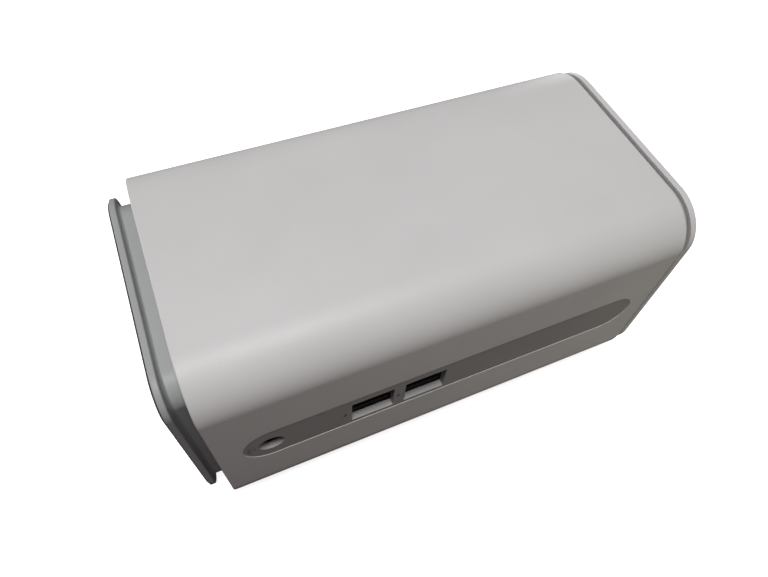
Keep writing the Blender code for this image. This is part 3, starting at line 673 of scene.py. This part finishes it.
# --- Port strips ------------------------------------------------------------------------------
def strip(name, side, height):
    """A recessed strip with a rim behind it, and a flange that holds it behind the sleeve's wall."""
    outline_at = stadium(PANEL_LENGTH, height, PANEL_CENTRE)
    flange = SLEEVE_WALL + GAP
    edge = 0.08 * MM
    profile = [
        (PANEL_RECESS, -PANEL_FIT - edge),
        (PANEL_RECESS + edge, -PANEL_FIT),
        (SLEEVE_WALL - PANEL_FIT, -PANEL_FIT),
        (flange, -GAP),
        (flange, PANEL_FLANGE),
        (PANEL_RIM_DEPTH, PANEL_FLANGE),
        (PANEL_RIM_DEPTH, -PANEL_RIM),
        (PANEL_BACK, -PANEL_RIM),
    ]
    return loft(name, [ring("Y", deep(side, depth), outline_at(offset)) for depth, offset in profile])


def window(side, outline_at):
    """A cutter for a port's window."""
    radius = 0.12 * MM
    return opening_cutter(side, outline_at, PANEL_RIM_DEPTH + MM, radius, PANEL_RECESS)


def make_front_strip():
    """The strip with windows for two USB sockets and a headset."""
    panel = strip("front_port_strip", -1, FRONT_PANEL_HEIGHT)
    tools = []
    for number in (1, 2):
        place = middle(f"front_usb_{number}_shell")
        tools.append(window(-1, oblong(*FRONT_WINDOW, 0.3 * MM, (place.x, place.z))))
    place = middle("headset_jack")
    tools.append(window(-1, disc(HEADSET_WINDOW_RADIUS, (place.x, place.z))))
    cut(panel, tools)
    dress(panel, "dock", "strip_plastic", "front_port_panel")


def make_rear_strip():
    """The strip with windows for power, data and displays, and a hole for the button."""
    panel = strip("rear_port_strip", 1, REAR_PANEL_HEIGHT)
    tools = []
    for node, size, corners, lift in (
        ("rear_usb_1_shell", USB_A_WINDOW, SQUARE_CORNER, 0.0),
        ("rear_usb_2_shell", USB_A_WINDOW, SQUARE_CORNER, 0.0),
        ("hdmi_shell", HDMI_WINDOW, HDMI_CORNERS, 0.0),
        ("displayport_shell", DISPLAYPORT_WINDOW, DISPLAYPORT_CORNERS, 0.0),
        ("upstream_usb_shell", USB_B_WINDOW, 2 * SQUARE_CORNER, 0.0),
        ("ethernet_jack_shell", ETHERNET_WINDOW, SQUARE_CORNER, ETHERNET_LIFT),
    ):
        place = middle(node)
        tools.append(window(1, oblong(*size, corners, (place.x, place.z + lift))))
    round_windows = {
        "power_inlet_body": POWER_WINDOW_RADIUS,
        "power_button": BUTTON_RADIUS + BUTTON_CLEARANCE,
    }
    for node, radius in round_windows.items():
        place = middle(node)
        tools.append(window(1, disc(radius, (place.x, place.z))))
    cut(panel, tools)
    dress(panel, "dock", "strip_plastic", "rear_port_panel")


# --- Connectors -------------------------------------------------------------------------------
def depths(node, side):
    """How deep a node's outer face and its back lie."""
    low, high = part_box(node)
    near, far = (high.y, low.y) if side > 0 else (low.y, high.y)
    return SECTION_DEPTH / 2 - side * near, SECTION_DEPTH / 2 - side * far


def socket_shell(node, side, outer, inner, slot, back_wall=0.5 * MM, lip=0.1 * MM):
    """Stands for a connector's shell, with rounded lips. It is open at its face and closed behind."""
    face, back = depths(node, side)
    steps = 4
    turns = [math.pi / 2 * step / steps for step in range(steps + 1)]
    profile = [(back - back_wall, inner(0.0))]
    for angle in turns:
        profile.append((face + lip * (1 - math.sin(angle)), inner(lip * (1 - math.cos(angle)))))
    for angle in reversed(turns):
        profile.append((face + lip * (1 - math.sin(angle)), outer(-lip * (1 - math.cos(angle)))))
    profile.append((back, outer(0.0)))
    piece = loft(f"{node}_fine", [ring("Y", deep(side, depth), outline) for depth, outline in profile])
    dress(piece, "dock", slot, node)


def insulator(node, side, centre, base, tongue):
    """Stands for the block in a shell, whose tongue has rounded edges and a tapered tip."""
    tip, back = depths(node, side)
    shoulder = back - 3 * MM
    round_off, taper = 0.2 * MM, 0.4 * MM
    base_at = oblong(*base, round_off, centre, 4)
    tongue_at = oblong(*tongue, round_off, centre, 4)
    profile = (
        (back, base_at(0.0)),
        (shoulder + round_off, base_at(0.0)),
        (shoulder, base_at(-round_off)),
        (shoulder, tongue_at(0.0)),
        (tip + taper, tongue_at(0.0)),
        (tip, tongue_at(-0.6 * round_off)),
    )
    piece = loft(f"{node}_fine", [ring("Y", deep(side, depth), outline) for depth, outline in profile])
    dress(piece, "dock", "black_plastic", node)


def contact_row(name, side, places, size, near, far):
    """Gold-plated contacts along Y at these (x, z), each with a turned-down nose."""
    width, thickness = size
    nose = 0.35 * MM
    data = bmesh.new()
    for place in places:
        outline_at = oblong(width, thickness, 0.2 * thickness, place, 2)
        profile = ((near, -0.3 * thickness), (near + nose, 0.0), (far, 0.0))
        add_loft(data, [ring("Y", deep(side, depth), outline_at(offset)) for depth, offset in profile])
    dress(mesh_object(name, data), "dock", "steel", material="gold_plating")


def spring_leaves(name, side, centre, inner_height, slot):
    """The four leaves that grip a plug: two along the roof and two along the floor of a USB-A shell."""
    width, thickness, rise = 2.2 * MM, 0.2 * MM, 0.5 * MM
    off_middle = 3.3 * MM
    root, tip = PORT_DEPTH + 8.0 * MM, PORT_DEPTH + 1.0 * MM
    tip_narrowing = 0.25
    bow = 0.72 * math.pi  # the part of a sine's hump that a leaf follows
    steps = 12
    data = bmesh.new()
    for x in (centre[0] - off_middle, centre[0] + off_middle):
        for up in (-1, 1):
            wall = centre[1] + up * (inner_height / 2 - 0.6 * thickness)
            rings = []
            for step in range(steps + 1):
                share = step / steps
                bend = rise * math.sin(bow * share) * share
                narrow = width * (1 - tip_narrowing * share)
                outline = rounded(narrow, thickness, 0.3 * thickness, 2, (x, wall - up * bend))
                rings.append(ring("Y", deep(side, root + (tip - root) * share), outline))
            add_loft(data, rings)
    dress(mesh_object(name, data), "dock", slot)


def make_usb_a(prefix, side, slot):
    """A USB-A socket: its shell, tongue, spring leaves and four contacts."""
    node = f"{prefix}_shell"
    place = middle(node)
    centre = (place.x, place.z)
    inner = tuple(length - 2 * USB_A_WALL for length in USB_A_SHELL)
    outer_at = oblong(*USB_A_SHELL, 0.6 * MM, centre)
    socket_shell(node, side, outer_at, oblong(*inner, 0.35 * MM, centre), slot)
    base = tuple(length - 2 * GAP for length in inner)
    insulator(f"{prefix}_tongue", side, centre, base, USB_A_TONGUE)
    spring_leaves(f"{prefix}_springs", side, centre, inner[1], slot)
    tip, back = depths(f"{prefix}_tongue", side)
    pitch = 2.3 * MM
    under = centre[1] - USB_A_TONGUE[1] / 2
    places = [(centre[0] + (number - 1.5) * pitch, under) for number in range(4)]
    contact = (1.1 * MM, 0.24 * MM)
    contact_row(f"{prefix}_contacts", side, places, contact, tip + 0.5 * MM, back - CONTACT_STOP)


def make_digital_port(prefix, size, corners, tongue, pitch):
    """A shielded display socket with a row of contacts on each side of its tongue."""
    node = f"{prefix}_shell"
    place = middle(node)
    centre = (place.x, place.z)
    wall = 0.4 * MM
    inner = (size[0] - 2 * wall, size[1] - 2 * wall)
    inner_corners = tuple(max(radius - wall, 0.2 * MM) for radius in corners)
    socket_shell(node, 1, oblong(*size, corners, centre), oblong(*inner, inner_corners, centre), "steel")
    base = (inner[0] - 3.4 * MM, inner[1] - 2 * GAP - 0.6 * MM)
    insulator(f"{prefix}_tongue", 1, centre, base, tongue)
    tip, back = depths(f"{prefix}_tongue", 1)
    places = []
    for up in (-1, 1):
        for number in range(DIGITAL_CONTACTS):
            x = centre[0] + (number - (DIGITAL_CONTACTS - 1) / 2) * pitch
            places.append((x, centre[1] + up * tongue[1] / 2))
    contact = (0.4 * pitch, 0.16 * MM)
    contact_row(f"{prefix}_contacts", 1, places, contact, tip + 0.4 * MM, back - CONTACT_STOP)


def make_usb_b():
    """The USB-B socket for the lead to the laptop, with two contacts on each side of its tongue."""
    place = middle("upstream_usb_shell")
    centre = (place.x, place.z)
    outer_at = oblong(*USB_B_SHELL, SQUARE_CORNER, centre)
    inner_at = oblong(*USB_B_OPENING, USB_B_CORNERS, centre)
    socket_shell("upstream_usb_shell", 1, outer_at, inner_at, "steel")
    insulator("upstream_usb_tongue", 1, centre, USB_B_BASE, USB_B_TONGUE)
    tip, back = depths("upstream_usb_tongue", 1)
    off_middle = 1.25 * MM
    places = []
    for x in (centre[0] - off_middle, centre[0] + off_middle):
        for up in (-1, 1):
            places.append((x, centre[1] + up * USB_B_TONGUE[1] / 2))
    contact = (1.2 * MM, 0.24 * MM)
    contact_row("upstream_usb_contacts", 1, places, contact, tip + 0.5 * MM, back - CONTACT_STOP)


def make_ethernet():
    """The network jack, with eight sprung wires that slope back from its roof."""
    place = middle("ethernet_jack_shell")
    outer_at = oblong(*ETHERNET_SHELL, SQUARE_CORNER, (place.x, place.z))
    inner_at = oblong(*ETHERNET_OPENING, 0.3 * MM, (place.x, place.z + ETHERNET_LIFT))
    socket_shell("ethernet_jack_shell", 1, outer_at, inner_at, "steel")
    low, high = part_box("ethernet_jack_contact_block")
    start, end = depths("ethernet_jack_contact_block", 1)
    wires, pitch, radius, drop = 8, 1.02 * MM, 0.16 * MM, 3.4 * MM
    data = bmesh.new()
    for number in range(wires):
        x = place.x + (number - (wires - 1) / 2) * pitch
        profile = (
            (start + 0.6 * MM, low.z + radius),
            (start + 0.2 * MM, low.z - radius),
            (start + 0.5 * MM, low.z - 2 * radius),
            (end - 1.5 * MM, low.z - drop),
        )
        add_loft(data, [ring("Y", deep(1, depth), circle(radius, (x, z), 10)) for depth, z in profile])
    dress(mesh_object("ethernet_contacts", data), "dock", "steel", material="gold_plating")


def make_power_inlet():
    """The barrel power inlet, with a domed pin."""
    place = middle("power_inlet_body")
    centre = (place.x, place.z)
    outer_at = oblong(*POWER_INLET, 0.5 * MM, centre)
    inner_at = disc_facing(POWER_BORE_RADIUS, centre)
    socket_shell("power_inlet_body", 1, outer_at, inner_at, "black_plastic", lip=0.25 * MM)
    tip, back = depths("power_inlet_pin", 1)
    dome, steps = 0.5 * MM, 6
    profile = [(deep(1, back), POWER_PIN_RADIUS)]
    for step in range(steps + 1):
        angle = math.pi / 2 * step / steps
        depth = tip + dome * (1 - math.sin(angle))
        profile.append((deep(1, depth), POWER_PIN_RADIUS - dome * (1 - math.cos(angle))))
    pin = lathe("power_inlet_pin_fine", "Y", centre, profile, 40)
    dress(pin, "dock", "steel", "power_inlet_pin")


def make_headset_jack():
    """The headset jack: a block with a lead-in round its bore."""
    place = middle("headset_jack")
    centre = (place.x, place.z)
    low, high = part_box("headset_jack")
    outer_at = oblong(high.x - low.x, high.z - low.z, 0.5 * MM, centre)
    bore_at = disc_facing(HEADSET_BORE_RADIUS, centre)
    socket_shell("headset_jack", -1, outer_at, bore_at, "black_plastic", back_wall=1 * MM, lip=0.3 * MM)


def make_collar():
    """The black collar behind the two USB windows, with a lead-in round each receptacle."""
    low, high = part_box("front_usb_collar")
    face, back = depths("front_usb_collar", -1)
    centre = ((low.x + high.x) / 2, (low.z + high.z) / 2)
    outline = rounded(high.x - low.x, high.z - low.z, 1 * MM, 8, centre)
    collar = loft("front_usb_collar_fine", [ring("Y", deep(-1, depth), outline) for depth in (face, back)])
    tools = []
    for number in (1, 2):
        place = middle(f"front_usb_{number}_shell")
        outline_at = oblong(*USB_A_WINDOW, 0.6 * MM, (place.x, place.z))
        tools.append(opening_cutter(-1, outline_at, back + MM, 0.3 * MM, face))
    cut(collar, tools)
    dress(collar, "dock", "black_plastic", "front_usb_collar")


def make_button():
    """The power button: a dished face with a soft edge, a flange behind the strip, and a stem."""
    place = middle("power_button")
    centre = (place.x, place.z)
    face, stem_end = depths("power_button", 1)
    flange = PORT_DEPTH
    flange_end = flange + 1.0 * MM
    profile = [
        (stem_end, BUTTON_STEM_RADIUS),
        (flange_end, BUTTON_STEM_RADIUS),
        (flange_end, BUTTON_FLANGE_RADIUS),
        (flange, BUTTON_FLANGE_RADIUS),
        (flange, BUTTON_RADIUS),
        (face + 0.3 * MM, BUTTON_RADIUS),
        (face + 0.08 * MM, BUTTON_RADIUS - 0.08 * MM),
        (face, BUTTON_RADIUS - 0.25 * MM),
    ]
    dish_radius = BUTTON_RADIUS - 0.45 * MM
    steps = 10
    for step in range(steps):
        share = 1 - step / steps
        profile.append((face + BUTTON_DISH * (1 - share**2), dish_radius * share))
    profile.append((face + BUTTON_DISH, 0.02 * MM))
    places = [(deep(1, depth), radius) for depth, radius in profile]
    button = lathe("power_button_cap", "Y", centre, places, 72)
    dress(button, "button", "grey_plastic", "power_button")


def make_button_mark():
    """A generic power mark in the button's dish: an open circle with a bar in its gap."""
    place = middle("power_button")
    centre = (place.x, place.z)
    bottom = depths("power_button", 1)[0] + BUTTON_DISH
    proud, sunk = bottom - 0.08 * MM, bottom + 0.05 * MM
    radius, line, gap_angle = 1.1 * MM, 0.28 * MM, math.radians(35)
    steps = 40
    turns = []
    for step in range(steps + 1):
        turns.append(math.pi / 2 + gap_angle + (2 * math.pi - 2 * gap_angle) * step / steps)
    points = []
    for edge, order in ((radius + line / 2, turns), (radius - line / 2, reversed(turns))):
        for angle in order:
            points.append((centre[0] + edge * math.cos(angle), centre[1] + edge * math.sin(angle)))
    data = bmesh.new()
    add_loft(data, [ring("Y", deep(1, depth), points) for depth in (proud, sunk)])
    bar = rounded(line, 1.3 * MM, 0.1 * MM, 4, (centre[0], centre[1] + 0.75 * MM))
    add_loft(data, [ring("Y", deep(1, depth), bar) for depth in (proud, sunk)])
    dress(mesh_object("power_button_mark", data), "button", "silver_plastic", material="pale_ink")


# --- Printed marks ----------------------------------------------------------------------------
def print_marks(name, side, shapes, slot, ink):
    """Ink on a strip. A shape is (x, z, width, height, line): solid where line is 0, else an outline,
    which is a circle where it is as wide as it is high."""
    proud, sunk = PANEL_RECESS - 0.02 * MM, PANEL_RECESS + 0.02 * MM
    data = bmesh.new()
    for x, z, width, height, line in shapes:
        is_circle = line and width == height
        corner = 0.49 * width if is_circle else 0.12 * MM
        outline_at = oblong(width, height, corner, (x, z))
        if line:
            places = ((proud, 0.0), (sunk, 0.0), (sunk, -line), (proud, -line))
            rings = [ring("Y", deep(side, depth), outline_at(offset)) for depth, offset in places]
            add_loft(data, rings, looped=True)
        else:
            add_loft(data, [ring("Y", deep(side, depth), outline_at(0.0)) for depth in (proud, sunk)])
    dress(mesh_object(name, data), "dock", slot, material=ink)


def plug_mark(x, z):
    """A plug seen from its side, with its lead towards the foot."""
    return [
        (x + 0.7 * MM, z, 1.3 * MM, 1.5 * MM, 0.22 * MM),
        (x - 0.35 * MM, z, 0.8 * MM, 2.2 * MM, 0.0),
        (x - 1.2 * MM, z, 0.9 * MM, 0.3 * MM, 0.0),
    ]


def headset_mark(x, z):
    """A headband with its two ear pads."""
    return [
        (x, z, 2.4 * MM, 2.4 * MM, 0.25 * MM),
        (x - 0.6 * MM, z - 1.1 * MM, 1.0 * MM, 0.55 * MM, 0.0),
        (x - 0.6 * MM, z + 1.1 * MM, 1.0 * MM, 0.55 * MM, 0.0),
    ]


def screen_mark(x, z, stand):
    """A display on a stand of this width."""
    return [
        (x + 0.4 * MM, z, 2.0 * MM, 3.0 * MM, 0.25 * MM),
        (x - 1.1 * MM, z, 0.3 * MM, stand, 0.0),
    ]


def network_mark(x, z):
    """Three computers on one line."""
    line, box = 0.25 * MM, 0.9 * MM
    marks = [(x, z, line, 2.8 * MM, 0.0), (x + 0.6 * MM, z, 1.1 * MM, line, 0.0)]
    marks.append((x + 1.3 * MM, z, box, box, 0.0))
    for up in (-1, 1):
        marks.append((x - 0.5 * MM, z + up * 1.4 * MM, 1.0 * MM, line, 0.0))
        marks.append((x - 1.1 * MM, z + up * 1.4 * MM, box, box, 0.0))
    return marks


def power_mark(x, z):
    """A barrel socket seen from the front."""
    return [(x, z, 2.8 * MM, 2.8 * MM, 0.25 * MM), (x, z, 0.9 * MM, 0.9 * MM, 0.0)]


def make_marks():
    """Generic symbols beside the front ports and above the rear ones."""
    shapes = []
    for number in (1, 2):
        place = middle(f"front_usb_{number}_shell")
        shapes += plug_mark(place.x - FRONT_WINDOW[0] / 2 - 1.9 * MM, place.z)
    place = middle("headset_jack")
    shapes += headset_mark(place.x - HEADSET_WINDOW_RADIUS - 2.2 * MM, place.z)
    print_marks("front_port_marks", -1, shapes, "black_plastic", "dark_ink")

    z = PANEL_Z + REAR_PANEL_HEIGHT / 2 - 2.6 * MM
    shapes = power_mark(middle("power_inlet_body").x, z)
    shapes += screen_mark(middle("upstream_usb_shell").x, z, stand=1.4 * MM)
    shapes += network_mark(middle("ethernet_jack_shell").x, z)
    for node in ("rear_usb_1_shell", "rear_usb_2_shell"):
        shapes += plug_mark(middle(node).x, z)
    for node in ("hdmi_shell", "displayport_shell"):
        shapes += screen_mark(middle(node).x, z, stand=2.4 * MM)
    print_marks("rear_port_marks", 1, shapes, "silver_plastic", "pale_ink")


# --- Materials for the CAD nodes that stay --------------------------------------------------------
def dress_kept_nodes():
    """Gives every CAD node that still shows its slot's material."""
    slots = {row["node"]: row["material_slot"] for row in frame["record"]["subparts"]}
    for name, obj in frame["nodes"].items():
        if obj.hide_render:
            continue
        obj.data.materials.clear()
        obj.data.materials.append(MATERIALS[slots[name]])


# --- Stage: floor, camera and lights ---------------------------------------------------------------
def make_camera():
    """The photograph's viewing angle and framing."""
    data = bpy.data.cameras.new("camera")
    data.lens = 28.41
    data.sensor_width = 36.0
    data.shift_x = -0.0229
    data.shift_y = -0.0074
    data.clip_start = 0.01
    data.clip_end = 100.0
    camera = bpy.data.objects.new("camera", data)
    camera.location = (-0.05777, -0.10491, 0.21830)
    camera.rotation_euler = Euler([math.radians(angle) for angle in (33.242, -3.948, -23.650)])
    bpy.context.scene.collection.objects.link(camera)
    bpy.context.scene.camera = camera


def area_light(name, place, size, power, colour=(1.0, 1.0, 1.0)):
    """A soft disc of light that aims at the middle of the dock, and that the camera doesn't see."""
    data = bpy.data.lights.new(name, "AREA")
    data.shape = "DISK"
    data.size = size
    data.energy = power
    data.color = colour
    light = bpy.data.objects.new(name, data)
    light.location = place
    towards = Vector((0.0, 0.0, MIDDLE_Z)) - Vector(place)
    light.rotation_euler = towards.to_track_quat("-Z", "Y").to_euler()
    light.visible_camera = False
    bpy.context.scene.collection.objects.link(light)


def make_lights():
    """A soft light above, a weak one at the front, and two low ones for the back and the ends."""
    area_light("overhead", (-0.06, -0.138, 0.72), size=0.20, power=3.8)
    area_light("right_fill", (0.22, -0.22, 0.05), size=0.15, power=0.085, colour=(0.97, 1.0, 0.82))
    for side in (-1, 1):
        area_light(f"back_fill_{side}", (side * 0.45, 0.36, 0.055), size=0.30, power=1.4)


def make_floor():
    """Pale paper. It bounces less light than the camera sees, and least of it at the foot's end."""
    half_width, below = 4.0, 0.2 * MM
    data = bmesh.new()
    data.faces.new([data.verts.new((x * half_width, y * half_width, -below)) for x, y in CORNERS])
    floor = mesh_object("floor", data)
    shader = Shader("floor_paper", 0.9, specular=0.1)
    seen = shader.add("ShaderNodeLightPath").outputs["Is Camera Ray"]
    across = shader.add("ShaderNodeSeparateXYZ", Vector=shader.place).outputs["X"]
    bounce = shader.mix(shader.between(across, -0.12, 0.12), (0.020, 0.008, 0.012), (0.36, 0.34, 0.31))
    fibres = shader.between(shader.noise(3.0, 2.0), 0.3, 0.7)
    paper = shader.mix(fibres, (0.93, 0.93, 0.93), (0.95, 0.95, 0.95))
    shader.set("Base Color", shader.mix(seen, bounce, paper))
    shader.set("Emission Color", shader.mix(seen, (0.0, 0.0, 0.0), (1.0, 1.0, 1.0)))
    shader.surface.inputs["Emission Strength"].default_value = 0.82
    floor.data.materials.append(shader.material)
    floor.visible_glossy = False


def make_world():
    """Dim all round for the object's shading, and pale for the camera."""
    world = bpy.data.worlds.new("studio")
    bpy.context.scene.world = world
    world.use_nodes = True
    tree = world.node_tree
    background = tree.nodes["Background"]
    path = tree.nodes.new("ShaderNodeLightPath")
    mix = tree.nodes.new("ShaderNodeMix")
    mix.data_type = "RGBA"
    sockets = {socket.name: socket for socket in mix.inputs if socket.enabled}
    sockets["A"].default_value = (0.060, 0.039, 0.045, 1.0)
    sockets["B"].default_value = (0.90, 0.90, 0.90, 1.0)
    tree.links.new(path.outputs["Is Camera Ray"], sockets["Factor"])
    tree.links.new(next(socket for socket in mix.outputs if socket.enabled), background.inputs["Color"])
    bpy.context.scene.view_settings.view_transform = "Standard"
    bpy.context.scene.view_settings.look = "None"


make_camera()
make_sleeve()
make_cap_plate()
make_cap_spacer()
make_foot()
make_sole()
make_front_strip()
make_rear_strip()
make_collar()
make_headset_jack()
# The front sockets take dark_steel, the painted-shade copy of steel for the shade inside their windows. The
# rear sockets take plain steel.
for prefix in ("front_usb_1", "front_usb_2"):
    make_usb_a(prefix, -1, "dark_steel")
for prefix in ("rear_usb_1", "rear_usb_2"):
    make_usb_a(prefix, 1, "steel")
make_digital_port("hdmi", HDMI_SHELL, HDMI_CORNERS, HDMI_TONGUE, pitch=0.9 * MM)
make_digital_port("displayport", DISPLAYPORT_SHELL, DISPLAYPORT_CORNERS, DISPLAYPORT_TONGUE, pitch=1.1 * MM)
make_usb_b()
make_ethernet()
make_power_inlet()
make_button()
make_button_mark()
make_marks()
dress_kept_nodes()
make_floor()
make_lights()
make_world()
